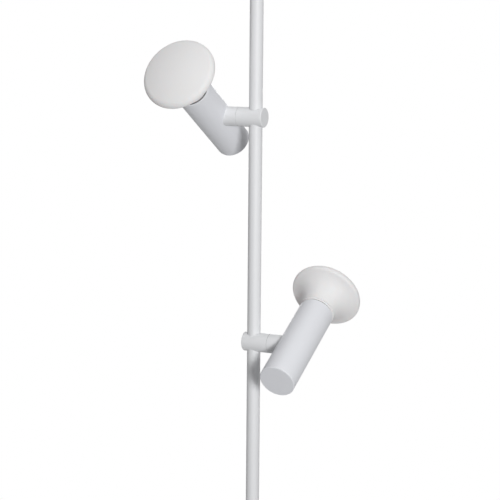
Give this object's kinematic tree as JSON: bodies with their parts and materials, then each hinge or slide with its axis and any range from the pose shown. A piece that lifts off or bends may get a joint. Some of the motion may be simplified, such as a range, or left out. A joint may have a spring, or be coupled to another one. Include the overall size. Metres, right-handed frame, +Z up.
{
  "type": "tension pole lamp",
  "caption": "Slim pole braced between floor and ceiling by a sprung plate, with tubular spot heads that swing about the pole and tilt, each with a flared opal diffuser.",
  "frame": {"origin": "where the pole's axis meets the floor, at the middle of the floor pad's underside", "axes": "+Z up along the pole to the ceiling; the picture looks along +Y with +X to its right"},
  "size_m": [0.2894, 0.1966, 2.4],
  "materials": {
    "paint": "satin white powder coat on steel",
    "paint_head": "satin white powder coat on an aluminium tube",
    "opal": "satin opal white, slightly warm",
    "rubber": "matt",
    "silicone": "matt",
    "acetal": "matt",
    "white_plastic": "fine moulded texture",
    "cable_sheath": "smooth",
    "zinc_steel": "zinc plated",
    "nickel_steel": "nickel plated",
    "spring_steel": "drawn wire and strip, dark",
    "brass": "turned",
    "alloy": "as cast",
    "board": "white solder mask",
    "phosphor": "matt yellow"
  },
  "bodies": {
    "pole": {"floor_pad": "rubber", "foot": "paint", "lower_pole": "paint", "middle_pole": "paint", "upper_pole": "paint", "pole_couplers": "zinc_steel", "set_screws": "zinc_steel", "cable_inlet": "white_plastic", "pole_cable": "cable_sheath", "pole_bush": "acetal", "lock_collar": "paint"},
    "lock_screw": {"thumb_screw": "nickel_steel"},
    "extension": {"extension_tube": "paint", "slider_plugs": "acetal", "slider_pins": "zinc_steel", "spring": "spring_steel"},
    "ceiling_end": {"spring_sleeve": "paint", "sleeve_bush": "acetal", "ceiling_plate": "paint", "plate_screw": "zinc_steel", "ceiling_pad": "rubber"},
    "upper_arm": {"upper_arm": "paint", "upper_glide_rings": "acetal", "upper_tilt_bolt": "brass", "upper_spring_washer": "spring_steel", "upper_swivel_nut": "brass", "upper_stop_pin": "zinc_steel", "upper_lead": "cable_sheath"},
    "upper_head": {"upper_stub": "paint", "upper_head_tube": "paint_head", "upper_saddle": "alloy", "upper_end_cap": "paint_head", "upper_driver": "white_plastic", "upper_heat_sink": "alloy", "upper_led_board": "board", "upper_leds": "phosphor", "upper_board_screws": "zinc_steel", "upper_reflector": "white_plastic", "upper_seal_ring": "silicone", "upper_shade": "opal"},
    "lower_arm": {"lower_arm": "paint", "lower_glide_rings": "acetal", "lower_tilt_bolt": "brass", "lower_spring_washer": "spring_steel", "lower_swivel_nut": "brass", "lower_stop_pin": "zinc_steel", "lower_lead": "cable_sheath"},
    "lower_head": {"lower_stub": "paint", "lower_head_tube": "paint_head", "lower_saddle": "alloy", "lower_end_cap": "paint_head", "lower_driver": "white_plastic", "lower_heat_sink": "alloy", "lower_led_board": "board", "lower_leds": "phosphor", "lower_board_screws": "zinc_steel", "lower_reflector": "white_plastic", "lower_seal_ring": "silicone", "lower_shade": "opal"}
  },
  "joints": [
    {"name": "height_slide", "type": "slide", "parent": "pole", "child": "extension", "axis": [0, 0, 1], "range_m": [-0.1, 0.15]},
    {"name": "ceiling_press", "type": "slide", "parent": "extension", "child": "ceiling_end", "axis": [0, 0, 1], "range_m": [-0.03, 0], "stiffness_N_per_m": 3000, "springref_m": 0.01, "deforming": ["spring"]},
    {"name": "lock_turn", "type": "hinge", "parent": "pole", "child": "lock_screw", "pos_m": [0.02, 0, 2.11075], "axis": [1, 0, 0], "range_deg": [0, 360]},
    {"name": "upper_swing", "type": "hinge", "parent": "pole", "child": "upper_arm", "pos_m": [0, 0, 1.5], "axis": [0, 0, 1], "range_deg": [-60, 60]},
    {"name": "upper_tilt", "type": "hinge", "parent": "upper_arm", "child": "upper_head", "pos_m": [0, 0, 1.5], "axis": [0.9048, -0.4258, 0], "range_deg": [-160, 160]},
    {"name": "lower_swing", "type": "hinge", "parent": "pole", "child": "lower_arm", "pos_m": [0, 0, 1.198], "axis": [0, 0, 1], "range_deg": [-60, 60]},
    {"name": "lower_tilt", "type": "hinge", "parent": "lower_arm", "child": "lower_head", "pos_m": [0, 0, 1.198], "axis": [-0.9048, 0.4258, 0], "range_deg": [-160, 160]}
  ]
}
